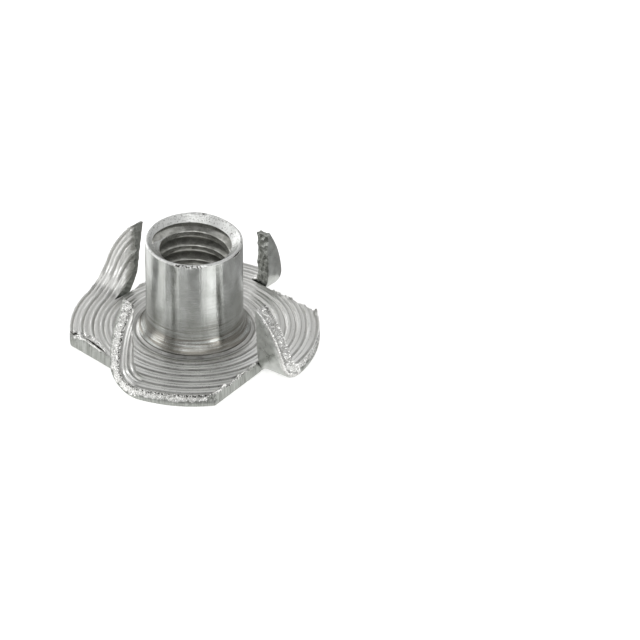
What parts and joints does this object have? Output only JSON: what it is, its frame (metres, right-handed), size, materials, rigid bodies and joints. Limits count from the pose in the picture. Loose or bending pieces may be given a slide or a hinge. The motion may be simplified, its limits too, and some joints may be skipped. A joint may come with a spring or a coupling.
{
  "type": "tee nut",
  "caption": "Pronged tee nut: threaded barrel with a flared root on a round ringed flange, whose sheared prongs fold up beside the barrel.",
  "frame": {"origin": "on the axis, at the flat outer face of the flange, on which the nut stands", "axes": "+Z along the barrel to its mouth; +X and +Y across the flange"},
  "size_m": [0.019, 0.019, 0.0091],
  "materials": {
    "stainless_steel": "turned and pressed, bright and satin"
  },
  "bodies": {
    "root": {"tee_nut": "stainless_steel"}
  },
  "joints": []
}
